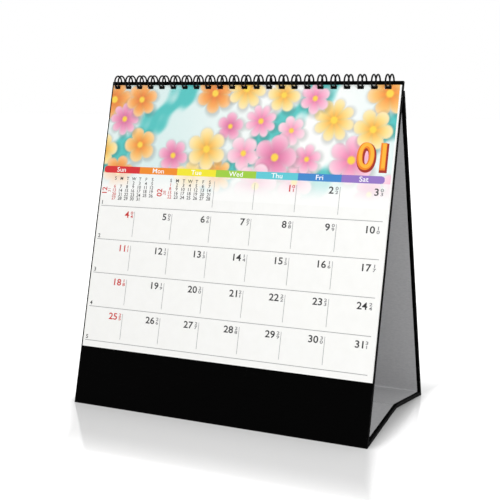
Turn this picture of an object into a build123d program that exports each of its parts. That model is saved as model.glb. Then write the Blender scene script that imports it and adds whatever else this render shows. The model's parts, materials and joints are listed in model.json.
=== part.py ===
"""Tent-shaped desk calendar: four wrapped boards, a twin-loop wire binding and twelve month leaves.

The front faces -Y, +Z is up, and the origin is on the table under the middle of the stand.
"""

import os
from math import asin, atan2, cos, degrees, dist, hypot, radians, sin, sqrt, tan

from build123d import *

# Stand, in millimetres
WIDTH = 200.0  # side to side
DEPTH = 112.0  # front edge to rear edge on the table
PANEL_LENGTH = 213.0  # front panel, along its face
BOARD = 1.8  # greyboard core
PAPER = 0.2  # covering paper outside, lining paper inside
LINING_MARGIN = 2.0  # turned-in covering left bare around each lining
CREASE_RISE = 7.5  # middle crease of the base above the table
TABLE_GAP = 0.4  # base above the table where it joins the panels
CREASE_GAP = 0.15  # bare joint at each end of a base half
RIDGE_DROP = 5.9  # rear panel's top edge below the front panel's top edge
RIDGE_GAP = 0.2  # rear panel's top edge from the back of the front panel

# Twin-loop wire
WIRE = 1.05  # diameter
RING_RADIUS = 4.15  # loop's centre line
RING_DROP = 0.4  # loop's axis below the front panel's top edge
INCH = 25.4
PITCH = INCH / 3  # three loops to the inch
LOOP_SHIFT = -1.6  # middle of the row of loops from the middle of the panel
TWIN_SPACING = 2.6  # between the two wires of a loop
BRIDGE_BEND = 1.0  # bend from a loop into the bridge to the next one
BRIDGE_START = 4.5  # degrees inside the panel's back where a loop leaves its bridge
TIP_GAP = 0.5  # from a loop's closed tip to its bridge
HOLE_CLEARANCE = 0.3

# Month leaves
MONTHS = (
    "january", "february", "march", "april", "may", "june",
    "july", "august", "september", "october", "november", "december",
)
LEAF = 0.11  # paper thickness
LEAF_GAP = 0.02  # air between two leaves
STACK_GAP = 0.1  # air between the front panel and the last leaf
LEAF_WIDTH = 197.4
LEAF_SHIFT = 0.7  # leaf's middle from the middle of the panel
LEAF_HEIGHT = 173.0
LEAF_STRIP = 0.4  # paper left above the holes

# Folded flat: the small angles that are left between the boards, in degrees
FOLD_FRONT = 0.5
FOLD_MIDDLE = 2.3
FOLD_REAR = 0.5

# Worked-out places of the panels: a lean is measured from upright
THICK = BOARD + 2 * PAPER
HALF_DEPTH = DEPTH / 2
front_lean = asin(HALF_DEPTH / hypot(PANEL_LENGTH, THICK)) - atan2(THICK, PANEL_LENGTH)


def panel_point(side, lean, up, out):
    """(y, z) of a point `up` a panel from its outer bottom corner and `out` from its inner face."""
    y = side * (HALF_DEPTH - up * sin(lean) + (out - THICK) * cos(lean))
    return y, up * cos(lean) + (out - THICK) * sin(lean)


ridge_y, ridge_z = panel_point(-1, front_lean, PANEL_LENGTH - RIDGE_DROP, -RIDGE_GAP)
rear_length = sqrt((HALF_DEPTH - ridge_y) ** 2 + ridge_z**2 - THICK**2)
rear_lean = atan2(HALF_DEPTH - ridge_y, ridge_z) - atan2(THICK, rear_length)

# Worked-out places of the base: its halves hinge on the panels' inner faces and meet at the middle crease
hinge_z = THICK + TABLE_GAP
front_hinge_y = -HALF_DEPTH + THICK / cos(front_lean) + hinge_z * tan(front_lean)
rear_hinge_y = HALF_DEPTH - THICK / cos(rear_lean) - hinge_z * tan(rear_lean)
crease_y = (front_hinge_y + rear_hinge_y) / 2
half_span = (rear_hinge_y - front_hinge_y) / 2
base_length = sqrt(half_span**2 + (CREASE_RISE - hinge_z) ** 2 - THICK**2)
base_slope = atan2(CREASE_RISE - hinge_z, half_span) + atan2(THICK, base_length)


def base_point(side, along, down):
    """(y, z) of a point `along` a base half from its hinge and `down` from its upper face."""
    y = crease_y + side * (half_span - along * cos(base_slope) - down * sin(base_slope))
    return y, hinge_z + along * sin(base_slope) - down * cos(base_slope)


def panel_section(side, lean, length):
    """A function for a layer of a panel, from out_low to out_high, `inset` inside the panel's edges."""

    def section(out_low, out_high, inset):
        def foot(out):
            return (inset - (out - THICK) * sin(lean)) / cos(lean)

        corners = [(foot(out_low), out_low), (foot(out_high), out_high)]
        corners += [(length - inset, out_high), (length - inset, out_low)]
        return [panel_point(side, lean, up, out) for up, out in corners]

    return section


def base_section(side):
    """A function for a layer of a base half, from down_low to down_high, `inset` inside its edges."""

    def section(down_low, down_high, inset):
        start = CREASE_GAP + inset
        end = base_length - CREASE_GAP - inset
        corners = [(start, down_low), (start, down_high), (end, down_high), (end, down_low)]
        return [base_point(side, along, down) for along, down in corners]

    return section


def profile(points):
    """A closed face in the YZ plane."""
    with BuildSketch(Plane.YZ) as face:
        with BuildLine():
            Polyline(*points, close=True)
        make_face()
    return face.sketch


# The loops' axis lies in the middle of the panel and its leaves
stack_inner = THICK + STACK_GAP
stack_outer = stack_inner + len(MONTHS) * (LEAF + LEAF_GAP) - LEAF_GAP
axis_out = stack_outer / 2
axis_y, axis_z = panel_point(-1, front_lean, PANEL_LENGTH - RING_DROP, axis_out)
back_angle = asin(axis_out / RING_RADIUS)  # on the ring, from straight down to the panel's back

# The front panel's own plane: X across, Y up the panel, Z out of it, with the loops' axis as its X axis
front_plane = Plane(
    origin=(0, axis_y, axis_z), x_dir=(1, 0, 0), z_dir=(0, -cos(front_lean), sin(front_lean))
)
loops = int(min(WIDTH, LEAF_WIDTH) / PITCH)  # as many as the leaves and the board have room for
hole_width = TWIN_SPACING + WIRE + 2 * HOLE_CLEARANCE
hole_low = RING_RADIUS + WIRE / 2 + HOLE_CLEARANCE
hole_high = RING_RADIUS * cos(back_angle) - WIRE / 2 / cos(back_angle) - HOLE_CLEARANCE
leaf_top = hole_high - LEAF_STRIP


def punching(plane):
    """The row of holes, as high and as low as the loops' wire reaches in the panel and the leaves."""
    with BuildSketch(plane) as holes:
        with Locations((LOOP_SHIFT, -(hole_high + hole_low) / 2)):
            with GridLocations(PITCH, 0, loops, 1):
                Rectangle(hole_width, hole_low - hole_high)
    return holes.sketch


def finish(builder, name):
    """Label a piece and write it as its own file."""
    builder.part.label = name
    export_step(builder.part, f"parts/{name}.step")


os.makedirs("parts", exist_ok=True)

# Front panel, rear panel and the two halves of the base: core, covering and lining
panels = {
    "front": panel_section(-1, front_lean, PANEL_LENGTH),
    "rear": panel_section(1, rear_lean, rear_length),
    "base_front": base_section(-1),
    "base_rear": base_section(1),
}
board_holes = punching(front_plane)

for panel, section in panels.items():
    core_face = profile(section(PAPER, PAPER + BOARD, PAPER))
    lining_face = profile(section(0, PAPER, LINING_MARGIN))
    core_half = WIDTH / 2 - PAPER
    lining_half = WIDTH / 2 - LINING_MARGIN

    with BuildPart() as board:
        extrude(core_face, amount=core_half, both=True)
        if panel == "front":
            extrude(board_holes, amount=THICK, both=True, mode=Mode.SUBTRACT)
    finish(board, f"{panel}_board")

    with BuildPart() as cover:
        extrude(profile(section(0, THICK, 0)), amount=WIDTH / 2, both=True)
        extrude(core_face, amount=core_half, both=True, mode=Mode.SUBTRACT)
        extrude(lining_face, amount=lining_half, both=True, mode=Mode.SUBTRACT)
        if panel == "front":
            extrude(board_holes, amount=2 * THICK, both=True, mode=Mode.SUBTRACT)
    finish(cover, f"{panel}_cover")

    with BuildPart() as lining:
        extrude(lining_face, amount=lining_half, both=True)
        if panel == "front":
            extrude(board_holes, amount=THICK, both=True, mode=Mode.SUBTRACT)
    finish(lining, f"{panel}_lining")


# Twin-loop wire: each loop is a hairpin bent round the ring, and bridges join it to its neighbours
tip_reach = TWIN_SPACING / 2
bridge_radius = hypot(RING_RADIUS, BRIDGE_BEND)
loop_start = radians(BRIDGE_START) - back_angle
bridge_angle = loop_start - atan2(BRIDGE_BEND, RING_RADIUS)
tip_end_angle = bridge_angle - (WIRE + TIP_GAP) / bridge_radius
loop_end = radians(360) + tip_end_angle - atan2(tip_reach, RING_RADIUS)


def on_ring(x, angle, ahead=0.0):
    """A point on the ring, `angle` from straight down the panel towards the front, and `ahead` along it."""
    down = RING_RADIUS * cos(angle) - ahead * sin(angle)
    out = RING_RADIUS * sin(angle) + ahead * cos(angle)
    return front_plane.from_local_coords((x, -down, out))


def ring_arcs(x, start, end, count=4):
    """Arcs of about a quarter turn from one angle of the ring to another."""
    step = (end - start) / count
    for i in range(count):
        angles = [start + step * (i + part) for part in (0, 0.5, 1)]
        ThreePointArc(*[on_ring(x, angle) for angle in angles])


twin = TWIN_SPACING / 2
bend_mid = BRIDGE_BEND * sin(radians(45))
bend_side = BRIDGE_BEND - bend_mid
with BuildPart() as one_loop:
    with BuildLine() as loop_path:
        left = on_ring(-twin - BRIDGE_BEND, loop_start, -BRIDGE_BEND)
        Line(on_ring(-PITCH / 2, loop_start, -BRIDGE_BEND), left)
        left_bend = on_ring(-twin - bend_side, loop_start, -bend_mid)
        ThreePointArc(left, left_bend, on_ring(-twin, loop_start))
        ring_arcs(-twin, loop_start, loop_end)
        tip = on_ring(0, loop_end, tip_reach)
        ThreePointArc(on_ring(-twin, loop_end), tip, on_ring(twin, loop_end))
        ring_arcs(twin, loop_end, loop_start)
        right = on_ring(twin + BRIDGE_BEND, loop_start, -BRIDGE_BEND)
        right_bend = on_ring(twin + bend_side, loop_start, -bend_mid)
        ThreePointArc(on_ring(twin, loop_start), right_bend, right)
        Line(right, on_ring(PITCH / 2, loop_start, -BRIDGE_BEND))
    loop_wire = loop_path.wire()
    with BuildSketch(Plane(origin=loop_wire @ 0, z_dir=loop_wire % 0)):
        Circle(WIRE / 2)
    sweep(path=loop_wire)

with BuildPart() as binding_wire:
    with Locations((LOOP_SHIFT, 0, 0)):
        with GridLocations(PITCH, 0, loops, 1):
            add(one_loop.part)
finish(binding_wire, "binding_wire")

# Least gap between stretches of the wire that aren't neighbours along it, over two loops
SAMPLES = 160
sample_step = loop_wire.length / SAMPLES
trace = [
    (loop_wire @ (i / SAMPLES)) + Vector(shift * PITCH, 0, 0) for shift in (0, 1) for i in range(SAMPLES)
]
apart = int(4 * WIRE / sample_step)
least = min(
    dist(tuple(a), tuple(b)) for i, a in enumerate(trace) for b in trace[i + apart :]
)
print(f"wire: least gap to itself {least - WIRE:.2f} mm")

# Month leaves, january at the front
for place, month in enumerate(MONTHS):
    leaf_plane = front_plane.offset(stack_outer - axis_out - LEAF - place * (LEAF + LEAF_GAP))
    with BuildPart() as leaf:
        with BuildSketch(leaf_plane):
            with Locations((LEAF_SHIFT, -leaf_top - LEAF_HEIGHT / 2)):
                Rectangle(LEAF_WIDTH, LEAF_HEIGHT)
        extrude(amount=LEAF)
        extrude(punching(leaf_plane), amount=LEAF, mode=Mode.SUBTRACT)
    finish(leaf, f"leaf_{month}")

# Places and travel of the joints
front_fold = degrees(radians(90) - front_lean - base_slope) - FOLD_FRONT
middle_fold = 180 - FOLD_MIDDLE - 2 * degrees(base_slope)
rear_fold = degrees(radians(90) - rear_lean - base_slope) - FOLD_REAR
print(f"ring axis y {axis_y:.5f} z {axis_z:.5f}")
print(f"lean front {degrees(front_lean):.4f} rear {degrees(rear_lean):.4f} degrees")
print(f"hinges z {hinge_z:.5f}, front y {front_hinge_y:.5f}, rear y {rear_hinge_y:.5f}")
print(f"crease y {crease_y:.5f}, base half {base_length:.3f} at {degrees(base_slope):.4f} degrees")
print(f"folds: front {front_fold:.4f}, middle {-middle_fold:.4f}, rear {rear_fold:.4f} degrees")
print(f"ratios: middle {-middle_fold / front_fold:.6f}, rear {rear_fold / front_fold:.6f}")
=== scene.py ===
# %% [markdown]
# # A tent-shaped desk calendar
# The real calendar is four boards wrapped in black paper and lined in grey, with twelve month leaves
# that hang from a black twin-loop wire. The boards, the wire and the leaves come from the CAD frame at
# their real size. This lesson adds what the frame lacks: paper and ink finishes, the printing on each
# leaf, and the paper that runs across the creases.

# %% Load the frame
import json
import math

import bpy
import numpy as np
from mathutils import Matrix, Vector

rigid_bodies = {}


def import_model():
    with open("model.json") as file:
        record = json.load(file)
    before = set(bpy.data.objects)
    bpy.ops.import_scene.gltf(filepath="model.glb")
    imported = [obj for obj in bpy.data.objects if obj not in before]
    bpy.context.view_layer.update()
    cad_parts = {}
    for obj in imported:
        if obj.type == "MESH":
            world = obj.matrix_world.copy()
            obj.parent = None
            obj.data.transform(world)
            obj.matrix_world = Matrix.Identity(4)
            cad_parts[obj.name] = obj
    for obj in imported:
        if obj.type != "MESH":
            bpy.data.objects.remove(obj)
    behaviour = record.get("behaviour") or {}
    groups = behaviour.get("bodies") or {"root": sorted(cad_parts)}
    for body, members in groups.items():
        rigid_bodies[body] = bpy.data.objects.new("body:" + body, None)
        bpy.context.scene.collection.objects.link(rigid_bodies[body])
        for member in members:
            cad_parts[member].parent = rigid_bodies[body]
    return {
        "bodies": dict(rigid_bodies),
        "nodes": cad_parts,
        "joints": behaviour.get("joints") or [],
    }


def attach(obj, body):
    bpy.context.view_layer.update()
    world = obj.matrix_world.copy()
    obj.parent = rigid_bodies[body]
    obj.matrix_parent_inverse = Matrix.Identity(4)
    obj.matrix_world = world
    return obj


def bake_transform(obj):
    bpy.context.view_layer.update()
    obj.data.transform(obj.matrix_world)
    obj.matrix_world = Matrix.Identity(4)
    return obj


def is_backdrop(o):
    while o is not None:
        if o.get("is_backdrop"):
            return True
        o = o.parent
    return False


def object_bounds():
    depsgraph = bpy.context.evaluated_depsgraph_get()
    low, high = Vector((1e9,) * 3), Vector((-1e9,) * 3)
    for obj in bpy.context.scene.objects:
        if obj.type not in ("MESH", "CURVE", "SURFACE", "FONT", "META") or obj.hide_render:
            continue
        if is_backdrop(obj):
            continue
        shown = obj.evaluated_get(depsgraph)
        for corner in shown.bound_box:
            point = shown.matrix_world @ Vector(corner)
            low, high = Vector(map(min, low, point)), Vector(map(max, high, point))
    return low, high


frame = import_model()
cad_low, cad_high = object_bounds()
MM = 0.001
print("CAD box, mm:", np.round(np.array(cad_high - cad_low) / MM, 1))

# %% [markdown]
# ## Directions of each panel
# Every panel is flat, so three directions say where it lies: across, up its face, and out of it. They
# could be typed in as angles, but then the looks and the CAD could drift apart. Reading them from the
# joints and from the panels' own corners keeps one truth.

# %% Where the panels lie
ACROSS = np.array((1.0, 0.0, 0.0))
pivots = {joint["name"]: np.array(joint["pos_m"]) for joint in frame["joints"]}


def corners_of(node):
    """The node's vertices, as rows of x, y and z in metres."""
    mesh = frame["nodes"][node].data
    places = np.empty(len(mesh.vertices) * 3, np.float32)
    mesh.vertices.foreach_get("co", places)
    return places.reshape(-1, 3).astype(float)


def unit(vector):
    """The vector at length one."""
    return vector / np.linalg.norm(vector)


def out_of(up, side):
    """The way out of a panel: a quarter turn from the way up it, to the front (-1) or the rear (1)."""
    return side * np.array((0.0, up[2], -up[1]))


def way_up(cover, hinge, side):
    """The way up a panel's inner face, from its hinge to the corner of its top edge, furthest inward."""
    corners = corners_of(cover)
    top = corners[(side * corners[:, 1]).argmin()] * (0, 1, 1)
    return unit(top - pivots[hinge])


ring = pivots["turn_january"]
front_up = way_up("front_cover", "base_fold", -1)
front_out = out_of(front_up, -1)
rear_up = way_up("rear_cover", "rear_crease", 1)
front_corners = corners_of("front_cover")
thickness = np.ptp(front_corners @ front_out)
print("front leans", round(math.degrees(math.asin(front_up[1])), 2), "degrees")
print("rear leans", round(-math.degrees(math.asin(rear_up[1])), 2), "degrees")
print("panel thickness, mm:", round(thickness / MM, 2))

# %% Where the base halves lie
span = pivots["middle_crease"] - pivots["base_fold"]
reach = math.hypot(span[1], span[2])
slope = math.atan2(span[2], span[1]) + math.asin(thickness / reach)
front_along = np.array((0.0, math.cos(slope), math.sin(slope)))
front_top = np.array((0.0, -math.sin(slope), math.cos(slope)))
MIRROR = np.array((1.0, -1.0, 1.0))
rear_along = front_along * MIRROR
rear_base_top = front_top * MIRROR
print("base slopes", round(math.degrees(slope), 2), "degrees")

# %% [markdown]
# ## Helpers for colour and nodes
# Print colours are usually known as sRGB hex values, but shaders work in linear light, so one function
# does the change. A second small function adds a node with its settings and links. That keeps every
# material below to a few lines that read like a recipe.

# %% Colour and node helpers


def srgb(code):
    """A hex colour as three sRGB numbers from 0 to 1."""
    return np.array([int(code[i:i + 2], 16) for i in (1, 3, 5)]) / 255


def linear(colour):
    """sRGB to linear light: a straight foot near black, then a power of 2.4."""
    colour = np.asarray(srgb(colour) if isinstance(colour, str) else colour, float)
    return np.where(colour <= 0.04045, colour / 12.92, ((colour + 0.055) / 1.055) ** 2.4)


def rgba(code):
    """A hex colour as the four linear numbers that a colour socket takes."""
    return (*linear(code), 1.0)


def add_node(tree, kind, inputs, **settings):
    """Adds a shader node and returns its outputs. Settings are the node's properties, and inputs are
    values or sockets for its own sockets."""
    made = tree.nodes.new(f"ShaderNode{kind}")
    for name, value in settings.items():
        setattr(made, name, value)
    for name, value in inputs.items():
        if isinstance(value, bpy.types.NodeSocket):
            tree.links.new(value, made.inputs[name])
        else:
            made.inputs[name].default_value = value
    return made.outputs


def new_material(name, sockets):
    """A material with a Principled shader whose sockets hold these values. Returns it and its parts."""
    material = bpy.data.materials.new(name)
    material.use_nodes = True
    tree = material.node_tree
    shader = tree.nodes["Principled BSDF"]
    for socket, value in sockets.items():
        shader.inputs[socket].default_value = value
    return material, tree, shader


def per_mm(size):
    """The texture scale at which one feature of the pattern is `size` millimetres wide."""
    return 1 / (size * MM)


def dress(material, *nodes):
    """Gives CAD nodes this material in place of the plain one they came with."""
    for name in nodes:
        frame["nodes"][name].data.materials.clear()
        frame["nodes"][name].data.materials.append(material)


print("helpers ready")

# %% [markdown]
# ## Coated art paper for the leaves
# The leaves are offset-printed on coated paper of about 150 g: a smooth clay coat, bright white and
# slightly shiny. Up close the coat is a little uneven, so the roughness drifts over a few millimetres
# and a very fine grain lifts the surface. A plain white shader would look like plastic card.

# %% Leaf paper
PAPER_WHITE = "#f9f9f7"
PAPER_SHADE = "#f3f3f0"
COAT_DRIFT = 6.0  # mm, size of the soft unevenness in the coat
COAT_GRAIN = 0.5  # mm, coarser than the real grain so that it shows
COAT_RELIEF = 0.01  # mm, height of the grain
COAT_ROUGHNESS = 0.40, 0.52  # where the coat is smoothest, and dullest


def coated_paper():
    """White clay-coated paper: soft drift in whiteness and gloss, and a faint grain."""
    material, tree, shader = new_material(
        "coated art paper", {"IOR": 1.5, "Specular IOR Level": 0.3}
    )
    place = add_node(tree, "TexCoord", {})["Object"]
    drift = add_node(tree, "TexNoise", {"Vector": place, "Scale": per_mm(COAT_DRIFT), "Detail": 3.0})[0]
    colour = add_node(
        tree, "Mix", {0: drift, 6: rgba(PAPER_WHITE), 7: rgba(PAPER_SHADE)}, data_type="RGBA"
    )[2]
    gloss = add_node(
        tree, "MapRange",
        {"Value": drift, "To Min": COAT_ROUGHNESS[0], "To Max": COAT_ROUGHNESS[1]},
    )[0]
    grain = add_node(tree, "TexNoise", {"Vector": place, "Scale": per_mm(COAT_GRAIN), "Detail": 2.0})[0]
    bump = add_node(tree, "Bump", {"Height": grain, "Strength": 0.25, "Distance": COAT_RELIEF * MM})[0]
    tree.links.new(colour, shader.inputs["Base Color"])
    tree.links.new(gloss, shader.inputs["Roughness"])
    tree.links.new(bump, shader.inputs["Normal"])
    return material


leaf_paper = coated_paper()
MONTHS = [name.removesuffix("_leaf") for name in frame["bodies"] if name.endswith("_leaf")]
MONTHS.sort(key=lambda month: -(corners_of(f"leaf_{month}") @ front_out).max())
dress(leaf_paper, *[f"leaf_{month}" for month in MONTHS])
print(len(MONTHS), "leaves, front to back:", ", ".join(MONTHS))

# %% [markdown]
# ## Black covering paper
# The boards are wrapped in black paper with a matt film. It is almost without shine, so it reads as a
# deep flat black, but the film has a fine tooth and the edges rub grey where the board is handled. The
# rub follows each panel's own edges, so each panel gets its own copy, told which way is up.

# %% Covering paper
COVER_BLACK = "#030303"
COVER_RUB = "#1a1a1b"
RUB_WIDTH = 0.9  # mm, rubbed band along an edge
RUB_SPECKLE = 1.6  # mm, size of a rubbed spot
RUB_LEVELS = 0.52, 0.72  # levels of the speckle where the rub starts, and where it is full
FILM_TOOTH = 0.35  # mm, drawn coarser than the real tooth so that it shows
FILM_RELIEF = 0.02  # mm, height of the tooth
FILM_ROUGHNESS = 0.55, 0.70  # where the film is smoothest, and dullest


def covering_paper(name, way, low, high, half_width):
    """Matt black paper, rubbed where it is within RUB_WIDTH of the panel's sides or its two ends."""
    material, tree, shader = new_material(
        f"matt black covering paper {name}", {"IOR": 1.45, "Specular IOR Level": 0.015}
    )
    place = add_node(tree, "TexCoord", {})["Object"]
    height = add_node(tree, "VectorMath", {0: place, 1: way}, operation="DOT_PRODUCT")["Value"]
    middle = (low + high) / 2
    centred = add_node(tree, "Math", {0: height, 1: middle}, operation="SUBTRACT")[0]
    off_middle = add_node(tree, "Math", {0: centred}, operation="ABSOLUTE")[0]
    to_end = add_node(tree, "Math", {0: off_middle, 1: (high - low) / 2}, operation="SUBTRACT")[0]
    sideways = add_node(tree, "SeparateXYZ", {0: place})[0]
    aside = add_node(tree, "Math", {0: sideways}, operation="ABSOLUTE")[0]
    to_side = add_node(tree, "Math", {0: aside, 1: half_width}, operation="SUBTRACT")[0]
    to_edge = add_node(tree, "Math", {0: to_end, 1: to_side}, operation="MAXIMUM")[0]
    near_edge = add_node(
        tree, "MapRange", {"Value": to_edge, "From Min": -RUB_WIDTH * MM, "From Max": 0.0}
    )[0]
    speckle = add_node(
        tree, "TexNoise", {"Vector": place, "Scale": per_mm(RUB_SPECKLE), "Detail": 4.0}
    )[0]
    rubbed = add_node(
        tree, "MapRange",
        {"Value": speckle, "From Min": RUB_LEVELS[0], "From Max": RUB_LEVELS[1]},
    )[0]
    rub = add_node(tree, "Math", {0: near_edge, 1: rubbed}, operation="MULTIPLY")[0]
    colour = add_node(
        tree, "Mix", {0: rub, 6: rgba(COVER_BLACK), 7: rgba(COVER_RUB)}, data_type="RGBA"
    )[2]
    gloss = add_node(
        tree, "MapRange",
        {"Value": speckle, "To Min": FILM_ROUGHNESS[0], "To Max": FILM_ROUGHNESS[1]},
    )[0]
    tooth = add_node(tree, "TexNoise", {"Vector": place, "Scale": per_mm(FILM_TOOTH), "Detail": 2.0})[0]
    bump = add_node(tree, "Bump", {"Height": tooth, "Strength": 0.3, "Distance": FILM_RELIEF * MM})[0]
    tree.links.new(colour, shader.inputs["Base Color"])
    tree.links.new(gloss, shader.inputs["Roughness"])
    tree.links.new(bump, shader.inputs["Normal"])
    return material


PANEL_WAYS = {"front": front_up, "rear": rear_up, "base_front": front_along, "base_rear": rear_along}
cover_papers = {}
for panel, way in PANEL_WAYS.items():
    cover_corners = corners_of(f"{panel}_cover")
    heights = cover_corners @ way
    half_width = cover_corners[:, 0].max()
    cover_papers[panel] = covering_paper(panel, way, heights.min(), heights.max(), half_width)
    dress(cover_papers[panel], f"{panel}_cover")
    print(f"{panel} covering: {np.ptp(heights) / MM:.1f} mm long, {2 * half_width / MM:.1f} mm wide")

# %% [markdown]
# ## Grey lining paper and greyboard
# The inside of the tent is lined with uncoated grey paper, and the core of each panel is greyboard,
# pressed from waste paper. Both are fibre, so both get a soft fibre mottle and no shine. The board
# shows only inside the punched holes, so its recipe is the same with darker flecks.

# %% Lining paper and board
LINING_GREY = "#bababb"
LINING_FIBRE = "#afafb1"
BOARD_GREY = "#8d877d"
BOARD_FLECK = "#6f6a62"
LINING_FIBRE_SIZE, LINING_RELIEF = 0.7, 0.03  # mm, width and height of a fibre
BOARD_FLECK_SIZE, BOARD_RELIEF = 0.4, 0.06  # mm, width and height of a fleck
FIBRE_STRETCH = (0.34, 1.0, 1.0)  # fibres are three times as long across the sheet as up it
FIBRE_LEVELS = 0.35, 0.7  # levels of the mottle where the fibre's colour starts, and where it is full


def fibre_paper(name, plain, fibre, fibre_size, relief):
    """Uncoated paper or board: noise stretched across the sheet gives the fibres' colour and relief."""
    material, tree, shader = new_material(
        name, {"IOR": 1.45, "Specular IOR Level": 0.2, "Roughness": 0.88}
    )
    place = add_node(tree, "TexCoord", {})["Object"]
    laid = add_node(tree, "Mapping", {"Vector": place, "Scale": FIBRE_STRETCH})[0]
    mottle = add_node(tree, "TexNoise", {"Vector": laid, "Scale": per_mm(fibre_size), "Detail": 5.0})[0]
    share = add_node(
        tree, "MapRange",
        {"Value": mottle, "From Min": FIBRE_LEVELS[0], "From Max": FIBRE_LEVELS[1]},
    )[0]
    colour = add_node(tree, "Mix", {0: share, 6: rgba(plain), 7: rgba(fibre)}, data_type="RGBA")[2]
    bump = add_node(tree, "Bump", {"Height": mottle, "Strength": 0.4, "Distance": relief * MM})[0]
    tree.links.new(colour, shader.inputs["Base Color"])
    tree.links.new(bump, shader.inputs["Normal"])
    return material


lining_paper = fibre_paper(
    "uncoated grey lining paper", LINING_GREY, LINING_FIBRE, LINING_FIBRE_SIZE, LINING_RELIEF
)
greyboard = fibre_paper("pressed greyboard", BOARD_GREY, BOARD_FLECK, BOARD_FLECK_SIZE, BOARD_RELIEF)
dress(lining_paper, *[f"{panel}_lining" for panel in PANEL_WAYS])
dress(greyboard, *[f"{panel}_board" for panel in PANEL_WAYS])
print("lining and board dressed")

# %% [markdown]
# ## Nylon-coated binding wire
# The twin loops are soft steel wire dipped in black nylon. The dip leaves a smooth, slightly rippled
# skin with a soft highlight along the top of every loop. It is a plastic to the eye, so it isn't metal
# in the shader, and a slow ripple stands for the dip.

# %% Binding wire
WIRE_BLACK = "#060607"
DIP_RIPPLE = 1.2  # mm, length of a ripple
DIP_RELIEF = 0.04  # mm, height of a ripple
DIP_ROUGHNESS = 0.34, 0.52  # where the skin is smoothest, and dullest


def dipped_wire():
    """Black nylon skin: a soft shine, with a slow ripple in its height and roughness."""
    material, tree, shader = new_material(
        "black nylon-coated steel wire",
        {"Base Color": rgba(WIRE_BLACK), "IOR": 1.53, "Specular IOR Level": 0.08},
    )
    place = add_node(tree, "TexCoord", {})["Object"]
    ripple = add_node(
        tree, "TexNoise", {"Vector": place, "Scale": per_mm(DIP_RIPPLE), "Detail": 2.0}
    )[0]
    gloss = add_node(
        tree, "MapRange",
        {"Value": ripple, "To Min": DIP_ROUGHNESS[0], "To Max": DIP_ROUGHNESS[1]},
    )[0]
    bump = add_node(tree, "Bump", {"Height": ripple, "Strength": 0.3, "Distance": DIP_RELIEF * MM})[0]
    tree.links.new(gloss, shader.inputs["Roughness"])
    tree.links.new(bump, shader.inputs["Normal"])
    return material


wire_skin = dipped_wire()
dress(wire_skin, "binding_wire")
print("wire dressed")

# %% [markdown]
# ## Paper across the creases
# On the real stand the grey lining runs on over each crease, and so does the black covering below. The
# CAD has a bare joint there. One sheet with a rounded corner closes it: two straight legs that meet in
# a hyperbola, carried from side to side.

# %% Sheets on a grid
STEPS_ALONG, STEPS_ACROSS = 41, 9  # points of a crease sheet's grid


def new_piece(name, points, faces, materials):
    """A mesh object at the origin, with its place in its mesh."""
    mesh = bpy.data.meshes.new(name)
    mesh.from_pydata(points, [], faces)
    for material in materials:
        mesh.materials.append(material)
    mesh.update()
    piece = bpy.data.objects.new(name, mesh)
    bpy.context.scene.collection.objects.link(piece)
    return piece


def grid_faces(rows, columns):
    """The corner numbers of each four-sided face on a grid of rows by columns."""
    first = np.arange(rows - 1)[:, None] * columns + np.arange(columns - 1)
    return np.stack((first, first + 1, first + columns + 1, first + columns), -1).reshape(-1, 4)


def swept_across(path, half_width):
    """A path in the YZ plane carried from side to side: every point of the path at every step across."""
    across = np.linspace(-half_width, half_width, STEPS_ACROSS)[None, :, None] * ACROSS
    return (path[:, None, :] + across).reshape(-1, 3)


print("a crease sheet has", STEPS_ALONG, "by", STEPS_ACROSS, "points")

# %% Lining over the creases
CREASE_SHEET = 0.04  # mm, thickness drawn for the paper over a crease
CREASE_LIFT = 0.06  # mm from a panel's face to the paper laid over it
LEG = 5.0  # mm, each leg of a sheet
LINING_BEND, COVER_BEND = 0.2, 0.05  # softness of the corner, as a share of the leg
UP = np.array((0.0, 0.0, 1.0))


def crease_path(corner, one_way, other_way, softness, lift):
    """Two legs from a corner. Each leg's length is (t + sqrt(t*t + softness*softness)) / 2, which is
    close to t on its own side and to zero on the other, so the corner rounds off. Lift moves it all."""
    t = np.linspace(-1, 1, STEPS_ALONG)[:, None]
    leg_one = (-t + np.sqrt(t * t + softness**2)) / 2
    leg_other = (t + np.sqrt(t * t + softness**2)) / 2
    return corner + LEG * MM * (leg_one * one_way + leg_other * other_way) + lift


def crease_sheet(name, path, half_width, material, bodies):
    """One paper sheet over a crease: a grid swept across, given thickness, and baked where it lies."""
    points = swept_across(path, half_width)
    piece = new_piece(name, points, grid_faces(len(path), STEPS_ACROSS), [material])
    solid = piece.modifiers.new("paper", "SOLIDIFY")
    solid.thickness = CREASE_SHEET * MM
    solid.offset = 0
    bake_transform(piece)
    print(f"{name}: {2 * half_width / MM:.0f} mm wide, bends between {bodies[0]} and {bodies[1]}")


lining_half = corners_of("front_lining")[:, 0].max()
crown = pivots["middle_crease"] + thickness * UP / math.cos(slope)
lift_up = CREASE_LIFT * MM * UP
lining_creases = {
    "lining_crease_front": (
        crease_path(pivots["base_fold"], front_up, front_along, LINING_BEND, 0),
        ("front_panel", "base_front"),
    ),
    "lining_crease_middle": (
        crease_path(crown, -front_along, -rear_along, LINING_BEND, lift_up),
        ("base_front", "base_rear"),
    ),
    "lining_crease_rear": (
        crease_path(pivots["rear_crease"], rear_along, rear_up, LINING_BEND, 0),
        ("base_rear", "rear_panel"),
    ),
}
for name, (path, bodies) in lining_creases.items():
    crease_sheet(name, path, lining_half, lining_paper, bodies)

# %% [markdown]
# ## Covering under the creases
# Below, the black covering crosses from each panel's foot to the base. It can't stay flat there, because
# the base swings about an edge that lies above it, so it follows an arc round that edge and then runs on
# under the base.

# %% Covering strips


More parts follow.
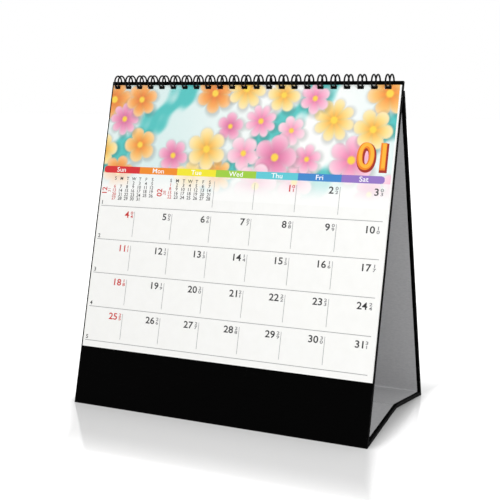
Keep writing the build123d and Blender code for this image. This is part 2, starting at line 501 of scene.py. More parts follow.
def arc_path(hinge, from_way, to_way, on_along):
    """An arc round a hinge from one direction to another, then a straight leg along the base. Each point
    of the arc adds the two directions, by the sines of the angles that are left and done."""
    radius = thickness + CREASE_LIFT * MM
    angle = math.acos(from_way @ to_way)
    t = np.linspace(0, 1, STEPS_ALONG // 2)[:, None]
    arc = (np.sin((1 - t) * angle) * from_way + np.sin(t * angle) * to_way) / math.sin(angle)
    leg = np.linspace(0, LEG * MM, STEPS_ALONG // 2 + 2)[1:, None] * on_along
    return hinge + np.concatenate((radius * arc, radius * to_way + leg))


cover_half = front_corners[:, 0].max()
under_creases = {
    "cover_crease_front": (
        arc_path(pivots["base_fold"], -front_up, -front_top, front_along),
        ("front_panel", "base_front"),
    ),
    "cover_crease_middle": (
        crease_path(pivots["middle_crease"], -front_along, -rear_along, COVER_BEND, -lift_up),
        ("base_front", "base_rear"),
    ),
    "cover_crease_rear": (
        arc_path(pivots["rear_crease"], -rear_up, -rear_base_top, rear_along),
        ("rear_panel", "base_rear"),
    ),
}
for name, (path, bodies) in under_creases.items():
    paper = cover_papers[bodies[1]]
    crease_sheet(name, path, cover_half, paper, bodies)

# %% [markdown]
# ## A black strip behind the binding, painted shade for the holes
# At the ridge a strip of the black covering paper closes the back of the punched holes, so no light
# shines through them and they read as black. It is painted shade: a dark sheet where the holes have
# only shade. The wire pierces it. It is a plain flat strip, a hair behind the board, that ends above
# the rear panel's top edge.

# %% Painted-shade strip behind the holes
SHADE_STRIP_TOP, SHADE_STRIP_END = 0.1, 5.3  # mm down from the board's top edge
SHADE_STRIP_STEPS = 5
inner_top = front_corners[front_corners[:, 1].argmax()] * (0, 1, 1)
shade_strip_down = np.linspace(SHADE_STRIP_TOP, SHADE_STRIP_END, SHADE_STRIP_STEPS)[:, None] * MM
shade_strip_path = inner_top - shade_strip_down * front_up - CREASE_LIFT * MM * front_out
# Painted shade: a black sheet behind the punched holes, where there is only shade
hole_shade_strip = new_piece(
    "ridge_hole_shade_strip", swept_across(shade_strip_path, cover_half),
    grid_faces(SHADE_STRIP_STEPS, STEPS_ACROSS), [cover_papers["front"]],
)
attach(hole_shade_strip, "front_panel")
print("hole shade strip:", round(2 * cover_half / MM), "mm wide, down to", SHADE_STRIP_END, "mm")

# %% [markdown]
# ## The printed leaf, measured
# The printing is laid out in millimetres: across from the middle of the stand, and down from the axis
# of the wire. The sides of the punched holes are read from the CAD leaf, because ink never crosses a
# hole. A week has seven columns and the month has five rows, as on most desk calendars.

# %% Layout of the leaf
DECIMALS = 3  # places on the leaf are rounded to a thousandth of a millimetre
leaf_corners = corners_of("leaf_january") - ring
hole_sides = np.unique(np.round(leaf_corners[:, 0] / MM, DECIMALS))[1:-1].reshape(-1, 2)
leaf_downs = np.unique(np.round(-leaf_corners @ front_up / MM, DECIMALS))
leaf_left, leaf_right = leaf_corners[:, 0].min() / MM, leaf_corners[:, 0].max() / MM
leaf_top, hole_top, hole_bottom, leaf_bottom = leaf_downs
BAR_TOP, BAR_BOTTOM = leaf_top + 54.1, leaf_top + 58.6  # mm, the rainbow bar
BAR_LEFT, BAR_RIGHT = -97.3, 95.2
FADE_BOTTOM = leaf_top + 73.3  # the picture's echo has faded out here
COLUMNS, ROWS = 7, 5
GRID_LEFT, COLUMN, ROW = -97.9, 27.75, 22.1  # mm, left of the first column, and the size of a cell
WHITE_EDGE = 0.7  # mm, unprinted paper at the right of the picture
RULE_LEFT = leaf_left + 1.5  # the ruled lines keep clear of the paper's edge
leaf_size = round(leaf_right - leaf_left, 1), round(leaf_bottom - leaf_top, 1)
print(len(hole_sides), "holes in a leaf of", *leaf_size, "mm")


def on_leaf(across, down, month, lift):
    """Points on a leaf's front face: millimetres across and down the leaf, lifted off it, to metres."""
    face = (corners_of(f"leaf_{month}") @ front_out).max() - ring @ front_out
    flat = across[:, None] * ACROSS - down[:, None] * front_up
    return ring + flat * MM + (face + lift * MM) * front_out


INK_LAYERS = 4  # the picture, then lettering up to three inks deep
FRONT_LIFT, INNER_LIFT = 0.02, 0.004  # mm from one layer to the next: inner leaves lie 0.02 mm apart


def lifts_of(month):
    """Height of each ink layer in mm. The front leaf has room for more than the leaves behind it."""
    return np.arange(1, INK_LAYERS + 1) * (FRONT_LIFT if month == MONTHS[0] else INNER_LIFT)


# %% [markdown]
# ## The picture band
# Each leaf has a colour picture across its top, a rainbow bar with the weekdays below it, and a pale
# echo of the picture that fades out under the bar. It could be an image, but a picture that is worked
# out needs no file: blossoms in pink, peach and lemon on a mint ground, painted from back to front on a
# grid of points. The colours sit in an attribute, so the ink follows the leaf wherever it turns.

# %% Painting the ground
MINT, TEAL, WHITE = srgb("#d9ecea"), srgb("#2fb4b0"), srgb(PAPER_WHITE)
GROUND_WAVE = 31.0  # mm for each radian of the slow change from mint to white
STROKES = (-78, -22, 38, 84)  # mm, the middle of each brush stroke, measured across its slant
STROKE_WIDTH, STROKE_SLANT = 7.5, 0.5  # mm, and radians
STROKE_TURN = 0.35  # radians by which the strokes turn from one month to the next
FRAY_LONG = 2.2, 2.9  # mm, depth of the fray on a stroke's edge, and for each radian of its wave down
FRAY_FINE = 1.6, 1.7, 4.3  # mm, depth of a finer fray, and for each radian of its wave across and down
TEAL_DEPTH = 0.8  # share of teal in the middle of a stroke
TEAL_LEVELS = 0.15, 0.95  # levels of the bell curve where the teal starts, and where it is full


def smooth(low, high, value):
    """0 below low, 1 above high, and an S curve between them."""
    t = np.clip((value - low) / (high - low), 0, 1)
    return t * t * (3 - 2 * t)


def mixed(below, above, share):
    """One colour laid over another by a share for each point."""
    return below + (above - below) * share[:, None]


def ground(across, down, turn):
    """Pale mint with slanting brush strokes of teal: bell curves across the slant, frayed by sines."""
    paleness = 0.5 + 0.5 * np.sin(across / GROUND_WAVE + turn)
    colour = mixed(np.tile(MINT, (len(across), 1)), WHITE, paleness)
    slant = across * math.cos(STROKE_SLANT + turn) + down * math.sin(STROKE_SLANT + turn)
    fray = FRAY_LONG[0] * np.sin(down / FRAY_LONG[1] + turn)
    fray = fray + FRAY_FINE[0] * np.sin(across / FRAY_FINE[1] + down / FRAY_FINE[2])
    for middle in STROKES:
        stroke = np.exp(-(((slant - middle + fray) / STROKE_WIDTH) ** 2))
        colour = mixed(colour, TEAL, TEAL_DEPTH * smooth(*TEAL_LEVELS, stroke))
    return colour


print(len(STROKES), "brush strokes on a mint ground")

# %% Painting the blossoms
PETALS = [srgb(code) for code in ("#f6b3cd", "#f8bf6c", "#f9c6d8", "#f6a95a", "#fbdc8c", "#ef9fc0")]
HEARTS = [srgb(code) for code in ("#ea82ac", "#ef8f3c", "#f29bbb", "#e6803a", "#f2b24c", "#d9739f")]
POLLEN = srgb("#f7d24a")
SOFT_EDGE = 0.6  # mm, about one step of the painted grid
BLOSSOM_STEP = (24.0, 18.5)  # mm between neighbours, across and down
BLOSSOM_COLUMNS, BLOSSOM_ROWS = 9, 4
FIRST_ROW = 6.0  # mm below the leaf's top edge
SHAKE = 4.0  # mm, how far a flower may be off its place each way
KEPT = 0.8  # share of the places that hold a flower
RADII = 8.5, 14.5  # mm, the smallest and the largest flower
PETAL_COUNTS = 5, 6, 8
ANY_TURN = 6.3  # radians, about a full turn
NOTCH, ROUNDNESS = 0.64, 0.6  # radius between two petals as a share of the flower's, and their fullness
SHADOW, SHADOW_SHIFT = 0.16, (0.8, 1.1)  # depth of a flower's shadow, and mm to the right and down
SHADOW_EDGE = 3.2, -0.8  # mm outside and inside the flower's edge, where its shadow ends and is full
HEART_FADE = 0.1, 0.75  # shares of the way out between which the heart's colour fades
RIM, RIM_START = 0.35, 0.6  # share of white on the rim, and of the way out where it starts
PETAL_CREASE = 0.07  # how much darker it is between two petals
POLLEN_SIZE = 0.17  # radius of the middle, as a share of the flower's


def blossom(colour, across, down, middle, radius, petals, turn, kind):
    """One flower over the colours so far. With n petals, its edge at the angle a lies at its radius times
    NOTCH + (1 - NOTCH) * |cos(n a / 2)| ** ROUNDNESS. The petals pale from the heart to the rim."""
    right, below = across - middle[0], down - middle[1]
    away = np.hypot(right, below)
    swing = np.abs(np.cos(petals * (np.arctan2(below, right) - turn) / 2))
    edge = radius * (NOTCH + (1 - NOTCH) * swing**ROUNDNESS)
    shadow_away = np.hypot(right - SHADOW_SHIFT[0], below - SHADOW_SHIFT[1])
    shadow = SHADOW * smooth(*SHADOW_EDGE, shadow_away - edge)
    colour = colour * (1 - shadow[:, None])
    heart = np.tile(HEARTS[kind], (len(across), 1))
    petal = mixed(heart, PETALS[kind], smooth(*HEART_FADE, away / edge))
    petal = mixed(petal, WHITE, RIM * smooth(RIM_START, 1.0, away / edge))
    petal = petal * (1 - PETAL_CREASE * (1 - swing[:, None]))
    colour = mixed(colour, petal, smooth(SOFT_EDGE, -SOFT_EDGE, away - edge))
    return mixed(colour, POLLEN, smooth(SOFT_EDGE, -SOFT_EDGE, away - POLLEN_SIZE * radius))


def painted_picture(across, down, number):
    """The whole picture of one month: the ground, then blossoms on a shaken grid, in a shuffled order."""
    rng = np.random.default_rng(number)
    colour = ground(across, down, STROKE_TURN * number)
    columns = (np.arange(BLOSSOM_COLUMNS) - BLOSSOM_COLUMNS // 2) * BLOSSOM_STEP[0]
    rows = leaf_top + FIRST_ROW + np.arange(BLOSSOM_ROWS) * BLOSSOM_STEP[1]
    places = np.stack(np.meshgrid(columns, rows), -1)
    places[1::2, :, 0] += BLOSSOM_STEP[0] / 2
    places = places.reshape(-1, 2)
    places += rng.uniform(-SHAKE, SHAKE, places.shape)
    places = places[rng.permutation(len(places))][: int(KEPT * len(places))]
    for middle in places:
        radius = rng.uniform(*RADII)
        petals = int(rng.choice(PETAL_COUNTS))
        kind = int(rng.integers(len(PETALS)))
        turn = rng.uniform(0, ANY_TURN)
        colour = blossom(colour, across, down, middle, radius, petals, turn, kind)
    return colour


print("blossoms in", len(PETALS), "petal colours")

# %% The rainbow bar over the picture, and the fade below it
RAINBOW = np.array([
    srgb(code)
    for code in ("#d4262c", "#ee8a1f", "#f0e32a", "#9bca3c", "#5cc6d2", "#3c84c8", "#9172c0")
])
ECHO, ECHO_FALL = 0.32, 1.5  # strength of the echo under the bar, and the power by which it fades


def printed_colours(across, down, number):
    """Picture above the bar, its pale echo below, and the bar itself: a capsule of seven colours, where
    the nearest point of its middle line is within its radius, give or take the rounding."""
    colour = painted_picture(across, down, number)
    echo = ECHO * smooth(FADE_BOTTOM, BAR_BOTTOM, down) ** ECHO_FALL
    faded = mixed(np.tile(WHITE, (len(down), 1)), colour, echo)
    colour = np.where((down > BAR_BOTTOM)[:, None], faded, colour)
    weekday = np.clip(((across - GRID_LEFT) // COLUMN).astype(int), 0, COLUMNS - 1)
    radius = (BAR_BOTTOM - BAR_TOP) / 2
    nearest = np.clip(across, BAR_LEFT + radius, BAR_RIGHT - radius)
    to_middle = np.hypot(across - nearest, down - (BAR_TOP + BAR_BOTTOM) / 2)
    inside = to_middle <= radius + 10**-DECIMALS
    return np.where(inside[:, None], RAINBOW[weekday], colour)


print("bar of", len(RAINBOW), "colours,", round(BAR_BOTTOM - BAR_TOP, 2), "mm high")

# %% [markdown]
# ## The grid under the picture
# Colour in an attribute blends from point to point, so a sharp edge needs two lines of points close
# together. An even grid fine enough for that would have millions of faces. So the grid is only as fine
# as the picture, with a close pair of lines at each side of the bar and between its colours, and with
# lines along the sides of the punched holes, where its faces are left out.

# %% Grid lines of the picture
PICTURE_STEP = 0.66  # mm between painted points
BEND_STEPS = 10  # lines through a quarter round of the bar's end
HAIR = 0.01  # mm, a close pair of lines lies this far to each side of its edge


def picture_lines():
    """Grid lines across and down: an even step, the holes' sides, a close pair at each sharp edge, and a
    finer step through the round ends of the bar."""
    hair = np.array((-HAIR, HAIR))
    borders = GRID_LEFT + COLUMN * np.arange(1, COLUMNS)
    last = leaf_right - WHITE_EDGE
    across = np.arange(leaf_left, last, PICTURE_STEP)
    bend = np.linspace(0, (BAR_BOTTOM - BAR_TOP) / 2, BEND_STEPS)
    across = np.concatenate((across, BAR_LEFT + bend, BAR_RIGHT - bend, [last]))
    across = np.concatenate((across, hole_sides.ravel(), (borders[:, None] + hair).ravel()))
    down = np.arange(leaf_top, FADE_BOTTOM, PICTURE_STEP)
    edges = (np.array((BAR_TOP, BAR_BOTTOM))[:, None] + hair).ravel()
    down = np.concatenate((down, BAR_TOP + bend, BAR_BOTTOM - bend, edges))
    down = np.concatenate((down, (hole_top, hole_bottom, FADE_BOTTOM)))
    return np.unique(np.round(across, DECIMALS)), np.unique(np.round(down, DECIMALS))


line_across, line_down = picture_lines()
wide, high = len(line_across), len(line_down)
picture_across = np.tile(line_across, high)
picture_down = np.repeat(line_down, wide)
quads = grid_faces(high, wide)[:, ::-1]  # turned round, so that they face out of the leaf
quad_across = picture_across[quads].mean(1)
quad_down = picture_down[quads].mean(1)
# The holes' sides in order: past an odd number of them is inside a hole
in_hole = np.searchsorted(hole_sides.ravel(), quad_across) % 2 == 1
in_hole &= (quad_down > hole_top) & (quad_down < hole_bottom)
used, quads = np.unique(quads[~in_hole], return_inverse=True)
quads = quads.reshape(-1, 4)
picture_across, picture_down = picture_across[used], picture_down[used]
print("grid of", wide, "by", high, "lines, with", in_hole.sum(), "faces left out at the holes")

# %% Printing the pictures


def picture_ink():
    """Four-colour offset ink on coated paper: the painted attribute's colour, with a little gloss."""
    material, tree, shader = new_material(
        "four-colour offset print", {"IOR": 1.5, "Specular IOR Level": 0.3, "Roughness": 0.42}
    )
    paint = add_node(tree, "Attribute", {}, attribute_name="ink")["Color"]
    tree.links.new(paint, shader.inputs["Base Color"])
    return material


picture_material = picture_ink()
for number, month in enumerate(MONTHS, 1):
    points = on_leaf(picture_across, picture_down, month, lifts_of(month)[0])
    picture = new_piece(f"{month}_picture", points, quads, [picture_material])
    ink = picture.data.color_attributes.new("ink", "FLOAT_COLOR", "POINT")
    colours = linear(np.clip(printed_colours(picture_across, picture_down, number), 0, 1))
    ink.data.foreach_set("color", np.c_[colours, np.ones(len(colours))].astype(np.float32).ravel())
    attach(picture, f"{month}_leaf")
print(len(MONTHS), "pictures of", len(quads), "faces")

# %% [markdown]
# ## Numerals and ruled lines
# Dates, weekday names and ruled lines are single inks with sharp edges, so they are flat shapes of
# their own and not part of the painted grid. Blender's built-in typeface gives the outlines. Each word
# becomes a mesh once, and numpy then places copies of it wherever it is printed.

# %% Inks
INKS = {
    "dark grey": "#303032",
    "red": "#cb3431",
    "mid grey": "#77777a",
    "line grey": "#9b9b9d",
    "white": "#ffffff",
    "maroon": "#9c2418",
    "orange": "#ee8218",
    "amber": "#fbb436",
}
# An ink film is too thin to show a pattern of its own, so each ink is one colour with the paper's gloss
ink_materials = [
    new_material(
        f"{name} offset ink",
        {"Base Color": rgba(code), "Roughness": 0.45, "IOR": 1.5, "Specular IOR Level": 0.3},
    )[0]
    for name, code in INKS.items()
]
INK_LAYER = dict.fromkeys(INKS, 1) | {"orange": 2, "amber": 3}
print(len(INKS), "inks")

# %% Outlines of the lettering
outlines = {}


def outline(text, swell=0.0, fineness=3):
    """Points and triangles of a word at size one, made once. Swell thickens its strokes."""
    if (text, swell, fineness) not in outlines:
        curve = bpy.data.curves.new("word", "FONT")
        curve.body = text
        curve.resolution_u = fineness
        curve.offset = swell
        holder = bpy.data.objects.new("word", curve)
        mesh = bpy.data.meshes.new_from_object(holder)
        mesh.calc_loop_triangles()
        points = np.empty(len(mesh.vertices) * 3, np.float32)
        mesh.vertices.foreach_get("co", points)
        triangles = np.empty(len(mesh.loop_triangles) * 3, np.int32)
        mesh.loop_triangles.foreach_get("vertices", triangles)
        flat = points.reshape(-1, 3)[:, :2].astype(float)
        outlines[text, swell, fineness] = flat, triangles.reshape(-1, 3)
        bpy.data.objects.remove(holder)
        bpy.data.curves.remove(curve)
        bpy.data.meshes.remove(mesh)
    return outlines[text, swell, fineness]


figure_height = np.ptp(outline("0")[0][:, 1])
print("height of a figure at size one:", round(figure_height, 3))


AT_LEFT, AT_MIDDLE, AT_RIGHT = 0.0, 0.5, 1.0  # anchors: the share of a word to the left of its place


def word(
    ink, text, across, down, height, anchor=AT_MIDDLE, swell=0.0, upright=True, widen=1.0, fineness=3
):
    """A word with its anchor at `across` and its base line at `down`, set upright or up the page."""
    points, triangles = outline(text, swell, fineness)
    points = points * (widen, 1) * height / figure_height
    left, right = points[:, 0].min(), points[:, 0].max()
    points = points - ((1 - anchor) * left + anchor * right, 0)
    if not upright:
        points = np.c_[-points[:, 1], points[:, 0]]
    return ink, np.c_[across + points[:, 0], down - points[:, 1]], triangles


def rule(ink, left, top, right, bottom):
    """A ruled line: a rectangle of two triangles."""
    points = np.array(((left, bottom), (right, bottom), (right, top), (left, top)), float)
    return ink, points, np.array(((0, 1, 2), (0, 2, 3)))


# %% [markdown]
# ## Laying out a month
# A month is ruled into five rows, with short upright ticks between the days and the number of the week
# at the left. Dates stand at the top right of their cell, Sundays in red, each beside a small column of
# figures that counts the day of the year. A sixth week shares the fifth row. All of it could be typed in
# by hand for one month, but worked out from the lengths of the months it serves all twelve.

# %% Cells of the month
DAYS = np.array((31, 28, 31, 30, 31, 30, 31, 31, 30, 31, 30, 31))
FIRST_WEEKDAY = 4  # the year begins on a Thursday
weekdays = (FIRST_WEEKDAY + np.concatenate(([0], np.cumsum(DAYS)[:-1]))) % COLUMNS
NAMES = ("Sun", "Mon", "Tue", "Wed", "Thu", "Fri", "Sat")
LINE, TICK = 0.37, 0.3  # mm, ruled widths
TICK_INSET = 2.8  # mm from the lines above and below to the ends of a tick
TINY_COLUMNS = 1.5  # columns that a tiny calendar takes up
TINY_PAIR = 2 * TINY_COLUMNS
LATE_COLUMN = COLUMNS - TINY_PAIR  # a pair of them after the dates starts at this column
cell_right = GRID_LEFT + COLUMN * np.arange(1, COLUMNS + 1)
row_top = BAR_BOTTOM + ROW * np.arange(ROWS)


def tiny_places(number):
    """Row and column where the tiny calendars start: in the empty cells before or after the dates."""
    before = weekdays[number - 1]
    after = COLUMNS * ROWS - before - DAYS[number - 1]
    if before >= TINY_PAIR:
        return (0, 0.0), (0, TINY_COLUMNS)
    if after >= TINY_PAIR:
        return (ROWS - 1, LATE_COLUMN), (ROWS - 1, LATE_COLUMN + TINY_COLUMNS)
    return (0, 0.0), (ROWS - 1, LATE_COLUMN + TINY_COLUMNS)


def ruled_grid(number):
    """The line under each row, and a tick between two days, but none through a tiny calendar."""
    marks = [rule("line grey", RULE_LEFT, top + ROW - LINE, cell_right[-1], top + ROW) for top in row_top]
    for row, top in enumerate(row_top):
        for column, right in enumerate(cell_right[:-1], 1):
            inside = [r == row and c < column < c + TINY_COLUMNS for r, c in tiny_places(number)]
            if not any(inside):
                ends = top + TICK_INSET, top + ROW - TICK_INSET
                marks.append(rule("line grey", right - TICK, ends[0], right, ends[1]))
    return marks


print("cells of", COLUMN, "by", ROW, "mm; the months begin on weekdays", weekdays)

# %% Dates and week numbers
FIGURE, FIGURE_WIDEN = 4.15, 1.12  # mm, height of a date, which is set in a broad face
FIGURE_INSET, STACK_INSET = 4.1, 2.1  # mm from a cell's right to its date, and to its stack's middle
STACK, STACK_GAP = 4.7, 0.45  # mm, height of a stack of small figures, and the space under each
STACK_WIDEN = 1.45  # its figures are nearly as broad as they are high
SIXTH_WEEK = 0.42  # share of a row by which a sixth week lies below the fifth
WEEK_FIGURE = 2.5  # mm, height of a week's number
WEEK_INSET, WEEK_RISE = 0.4, 1.2  # mm from the left end of its row's line, and above that line
FIRM = 0.016  # stroke added to small print, as a share of its size


def dates(number):
    """The date in each cell, with the day of the year stacked beside it."""
    marks = []
    before = DAYS[:number - 1].sum()
    for day in range(1, DAYS[number - 1] + 1):
        week, column = divmod(weekdays[number - 1] + day - 1, COLUMNS)
        extra = week >= ROWS
        top = row_top[min(week, ROWS - 1)] + TICK_INSET + extra * ROW * SIXTH_WEEK
        date_right = cell_right[column] - FIGURE_INSET
        stack_middle = cell_right[column] - STACK_INSET
        in_red = column == 0 or (number == 1 and day == 1)  # Sundays, and the first day of the year
        ink = "red" if in_red else "dark grey"
        base = top + FIGURE
        marks.append(word(ink, str(day), date_right, base, FIGURE, AT_RIGHT, FIRM, widen=FIGURE_WIDEN))
        count = f"{before + day:02d}"
        step = STACK / len(count)
        height = step - STACK_GAP
        ink = "red" if in_red else "mid grey"
        for place, figure in enumerate(count, 1):
            base = top + step * place - STACK_GAP
            marks.append(word(ink, figure, stack_middle, base, height, swell=FIRM, widen=STACK_WIDEN))
    return marks


def week_numbers(number):
    """The week of the year at the left end of each row."""
    first = (FIRST_WEEKDAY + DAYS[:number - 1].sum()) // COLUMNS + 1
    left = RULE_LEFT + WEEK_INSET
    return [
        word("dark grey", str(first + row), left, top + ROW - WEEK_RISE, WEEK_FIGURE, AT_LEFT, FIRM)
        for row, top in enumerate(row_top)
    ]


print("the first month has", len(dates(1) + week_numbers(1)), "words in its rows")

# %% [markdown]
# ## Tiny calendars
# The empty cells before the first date or after the last hold the months on either side, set very small.
# Each has its number up the side with its count of days, and then seven columns of dates. The date of
# every cell follows from the weekday on which that month begins.

# %% Tiny calendars of the months on either side
TINY_DROP = 0.6  # mm from the line above to a tiny calendar's top
TINY_FIGURE = 2.1  # mm, height of its figures
TINY_TITLE, TINY_TITLE_FIRM = 3.6, 0.02  # mm, height of its number, and the stroke added to that
TINY_MIDDLE = 11.0  # mm from its top to the middle of its number
TITLE_BASE, COUNT_BASE = 4.4, 7.3  # mm from its left to the base lines of its number and count of days
FIRST_DATES = 10.2, 6.6  # mm from its left and top to its first column and first line of dates
DATES_STEP = 4.65, 2.6  # mm from column to column, and from line to line
INITIALS_BASE = 3.9  # mm from its top


def tiny_calendar(number, left, top):
    """A whole month in a cell and a half: its number up the side, with its count of days beside it in
    small figures, then initials and rows of dates."""
    title, count, middle = f"{number:02d}", str(DAYS[number - 1]), top + TINY_MIDDLE
    marks = [
        word("red", title, left + TITLE_BASE, middle, TINY_TITLE, swell=TINY_TITLE_FIRM, upright=False),
        word("red", count, left + COUNT_BASE, middle, TINY_FIGURE, upright=False),
    ]
    columns = left + FIRST_DATES[0] + DATES_STEP[0] * np.arange(COLUMNS)
    for name, x in zip(NAMES, columns):
        marks.append(word("dark grey", name[0], x, top + INITIALS_BASE, TINY_FIGURE, swell=FIRM))
    for day in range(1, DAYS[number - 1] + 1):
        week, column = divmod(weekdays[number - 1] + day - 1, COLUMNS)
        ink = "red" if column == 0 else "dark grey"
        base = top + FIRST_DATES[1] + DATES_STEP[1] * week
        marks.append(word(ink, str(day), columns[column], base, TINY_FIGURE, swell=FIRM))
    return marks


def neighbours(number):
    """Tiny calendars of last month and next month."""
    marks = []
    months = (number - 2) % len(DAYS) + 1, number % len(DAYS) + 1
    for month, (row, column) in zip(months, tiny_places(number)):
        marks += tiny_calendar(month, GRID_LEFT + column * COLUMN, row_top[row] + TINY_DROP)
    return marks


print("the first month's neighbours have", len(neighbours(1)), "words")

# %% [markdown]
# ## Headings, and the print of a leaf
# The weekday names stand in white on the rainbow bar, and the month's number stands large at the right
# of the picture, in three inks laid over one another. Each leaf's lettering is joined into one mesh with
# a material for each ink, which is far quicker to draw than hundreds of small objects.

# %% Headings of the month
TITLE, WEEKDAY = 15.0, 3.0  # mm, heights of the month's number and of the weekday names
TITLE_RISE, WEEKDAY_RISE = 4.2, 0.9  # mm from the bar's top and bottom up to their base lines
WEEKDAY_FIRM = 0.006  # stroke added to the weekday names
TITLE_FINENESS = 12  # steps in each curve of the large figures
# The three layers of the title: ink, right end, distance below the base line, and added stroke
TITLE_LAYERS = (("maroon", 95.8, 0.9, 0.065), ("orange", 94.6, 0.0, 0.035), ("amber", 94.2, -0.4, 0.0))


def headings(number):
    """Weekday names on the bar, and the month's number in amber over orange over a maroon shade."""
    middles = cell_right - COLUMN / 2
    base = BAR_BOTTOM - WEEKDAY_RISE
    marks = [
        word("white", name, x, base, WEEKDAY, swell=WEEKDAY_FIRM, widen=FIGURE_WIDEN)
        for name, x in zip(NAMES, middles)
    ]
    title, title_base = f"{number:02d}", BAR_TOP - TITLE_RISE
    for ink, right, below, swell in TITLE_LAYERS:
        down = title_base + below
        marks.append(word(ink, title, right, down, TITLE, AT_RIGHT, swell, fineness=TITLE_FINENESS))
    return marks


def print_leaf(number, month):
    """All the inked marks of one leaf in one mesh, each ink a material, each layer at its own lift."""
    marks = ruled_grid(number) + dates(number) + week_numbers(number)
    marks += neighbours(number) + headings(number)
    inks = [list(INKS).index(ink) for ink, _, _ in marks]
    sizes = [len(points) for _, points, _ in marks]
    first = np.cumsum([0, *sizes[:-1]])
    flat = np.concatenate([points for _, points, _ in marks])
    triangles = np.concatenate([shape + start for (_, _, shape), start in zip(marks, first)])
    layer = np.repeat([INK_LAYER[ink] for ink, _, _ in marks], sizes)
    points = on_leaf(flat[:, 0], flat[:, 1], month, lifts_of(month)[layer][:, None])
    piece = new_piece(f"{month}_lettering", points, triangles, ink_materials)
    ink_of = np.repeat(inks, [len(shape) for _, _, shape in marks]).astype(np.int32)
    piece.data.polygons.foreach_set("material_index", ink_of)
    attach(piece, f"{month}_leaf")
    return len(triangles)


counts = [print_leaf(number, month) for number, month in enumerate(MONTHS, 1)]
print("lettering triangles per leaf:", counts)

# %% [markdown]
# ## Floor and background
# The calendar stands on a polished white table that runs into a white background. A wide flat floor does
# the same: its polish mirrors the foot of the stand, more strongly at this low view, and its lacquer
# keeps the shadow. Away from that mirrored foot a little light is added for the camera and for mirrors
# alone, so that the floor meets the white sky without a horizon. None of it falls on the calendar.

# %% Studio floor
FLOOR_WHITE = "#eeeeee"
FLOOR_HALF = 6.0  # m
GLOW_NEAR, GLOW_FAR = 0.11, 0.6  # light added in the mirrored patch, and far from it
PATCH_MIDDLE, PATCH_HALF = (0.0, -0.02, 0.0), (0.098, 0.075, 1.0)  # m, under the stand and before it
PATCH_FADE = (0.015, 0.065, 1.0)  # m from the patch to the full added light
FOOT = cad_low[1]  # m, the front foot's line
PATCH_POINT = (0.27, 0.51)  # m, the patch's sides meet this far to the right and in front of the foot


def seen_directly(tree):
    """One for rays from the camera or from a mirror, and nought for those that light the scene."""
    rays = add_node(tree, "LightPath", {})
    return add_node(
        tree, "Math", {0: rays["Is Camera Ray"], 1: rays["Is Glossy Ray"]}, operation="MAXIMUM"
    )[0]


def polished_floor():
    """White lacquer under a polish. The added light grows with the distance from a patch: |x| and |y|
    from its middle, less its half size, each as a share of its fade, and the greater of the two. Before
    the foot its sides run to a point: x first moves by the way past the foot times the slope to it."""
    material, tree, shader = new_material(
        "white studio lacquer",
        {"Base Color": rgba(FLOOR_WHITE), "Roughness": 0.11, "IOR": 1.9, "Emission Color": (1, 1, 1, 1)},
    )
    place = add_node(tree, "TexCoord", {})["Object"]
    spot = add_node(tree, "SeparateXYZ", {0: place})
    past_foot = add_node(tree, "Math", {0: spot[1], 1: FOOT}, operation="SUBTRACT")[0]
    before = add_node(tree, "Math", {0: past_foot, 1: 0.0}, operation="MINIMUM")[0]
    to_point = add_node(tree, "Math", {0: PATCH_POINT[0], 1: spot[0]}, operation="SUBTRACT")[0]
    lean = add_node(tree, "Math", {0: to_point, 1: PATCH_POINT[1]}, operation="DIVIDE")[0]
    leaned = add_node(tree, "Math", {0: before, 1: lean, 2: spot[0]}, operation="MULTIPLY_ADD")[0]
    moved = add_node(tree, "CombineXYZ", {0: leaned, 1: spot[1]})[0]
    off = add_node(tree, "VectorMath", {0: moved, 1: PATCH_MIDDLE}, operation="SUBTRACT")[0]
    aside = add_node(tree, "VectorMath", {0: off}, operation="ABSOLUTE")[0]
    past = add_node(tree, "VectorMath", {0: aside, 1: PATCH_HALF}, operation="SUBTRACT")[0]
    share = add_node(tree, "VectorMath", {0: past, 1: PATCH_FADE}, operation="DIVIDE")[0]
    sides = add_node(tree, "SeparateXYZ", {0: share})
    away = add_node(tree, "Math", {0: sides[0], 1: sides[1]}, operation="MAXIMUM")[0]
    glow = add_node(
        tree, "MapRange", {"Value": away, "To Min": GLOW_NEAR, "To Max": GLOW_FAR},
        interpolation_type="SMOOTHSTEP",
    )[0]
    added = add_node(tree, "Math", {0: seen_directly(tree), 1: glow}, operation="MULTIPLY")[0]
    tree.links.new(added, shader.inputs["Emission Strength"])
    return material


floor_corners = FLOOR_HALF * np.array(((-1, -1, 0), (1, -1, 0), (1, 1, 0), (-1, 1, 0)))
floor = new_piece("studio_floor", floor_corners, [(0, 1, 2, 3)], [polished_floor()])
floor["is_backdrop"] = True
print("floor", 2 * FLOOR_HALF, "m square")

# %% [markdown]
# ## Light and camera
# Soft light from a large lamp high at the front left, a lower one from the right that reaches into the
# tent, and an even sky. Large lamps keep the shadows soft. The camera stands a little to the right of
# the calendar's middle and slightly above it, where the right-hand opening of the tent shows.

# %% Lamps and sky
SKY_LIGHT = 0.5  # strength of the sky where it lights the scene
LAMP_AIM = np.array((0.0, 0.0, 0.1))  # m, half-way up the calendar
# Place and size of each lamp in metres, and its power in watts
LAMPS = {"key": ((-0.9, -1.3, 1.5), 1.2, 9.5), "fill": ((1.15, -0.72, 0.70), 0.8, 11.9)}


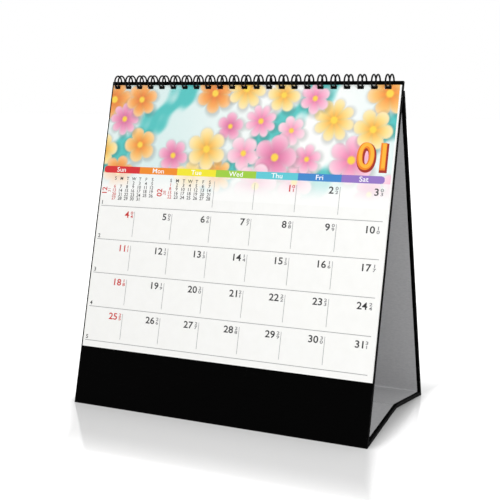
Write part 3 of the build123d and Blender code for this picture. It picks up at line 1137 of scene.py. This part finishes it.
def lamp(name, place, size, power):
    """A square area lamp at a place, turned so that its third axis points straight away from its aim."""
    light = bpy.data.lights.new(name, "AREA")
    light.size, light.energy = size, power
    made = bpy.data.objects.new(name, light)
    toward = unit(LAMP_AIM - place)
    side = unit(np.cross(toward, UP))
    turned = np.eye(4)
    turned[:3, :3] = np.c_[side, np.cross(side, toward), -toward]
    turned[:3, 3] = place
    made.matrix_world = turned.T
    bpy.context.scene.collection.objects.link(made)


def even_sky():
    """A white world: strength 1 where it is seen, and weaker where it lights the scene."""
    world = bpy.data.worlds.new("even sky")
    world.use_nodes = True
    tree = world.node_tree
    strength = add_node(
        tree, "MapRange", {"Value": seen_directly(tree), "To Min": SKY_LIGHT, "To Max": 1.0}
    )[0]
    tree.nodes["Background"].inputs["Color"].default_value = (1, 1, 1, 1)
    tree.links.new(strength, tree.nodes["Background"].inputs["Strength"])
    return world


for name, (place, size, power) in LAMPS.items():
    lamp(name, place, size, power)
bpy.context.scene.world = even_sky()
print("lamps:", ", ".join(LAMPS))

# %% Camera
FRAME_PIXELS = 500  # width of the photograph
FOCAL_PIXELS = 989.67  # focal length of its lens, in the same pixels
CAMERA_AZIMUTH, CAMERA_ELEVATION = math.radians(25.37), math.radians(9.21)
CAMERA_DISTANCE = 636.92 * MM
CAMERA_TARGET = np.array((0.04, 0.0, 99.11)) * MM
camera_data = bpy.data.cameras.new("camera")
camera_data.sensor_width = 36.0
camera_data.lens = camera_data.sensor_width * FOCAL_PIXELS / FRAME_PIXELS
camera = bpy.data.objects.new("camera", camera_data)
level = math.cos(CAMERA_ELEVATION)
back = np.array(
    (math.sin(CAMERA_AZIMUTH) * level, -math.cos(CAMERA_AZIMUTH) * level, math.sin(CAMERA_ELEVATION))
)
camera_right = unit(np.cross(UP, back))
stand = np.eye(4)
stand[:3, :3] = np.c_[camera_right, np.cross(back, camera_right), back]
stand[:3, 3] = CAMERA_TARGET + CAMERA_DISTANCE * back
camera.matrix_world = stand.T
bpy.context.scene.collection.objects.link(camera)
bpy.context.scene.camera = camera
bpy.context.scene.view_settings.view_transform = "Standard"
print("lens", round(camera_data.lens, 2), "mm")

# %% [markdown]
# ## Sizes, and the end
# The looks should add almost nothing to the calendar's size. The box of the CAD frame was measured at
# the start, and the box of everything is measured now, so the two can be set side by side.

# %% Print both boxes, and finish
low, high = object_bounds()
print("visual box, mm:", np.round(np.array(high - low) / MM, 1))
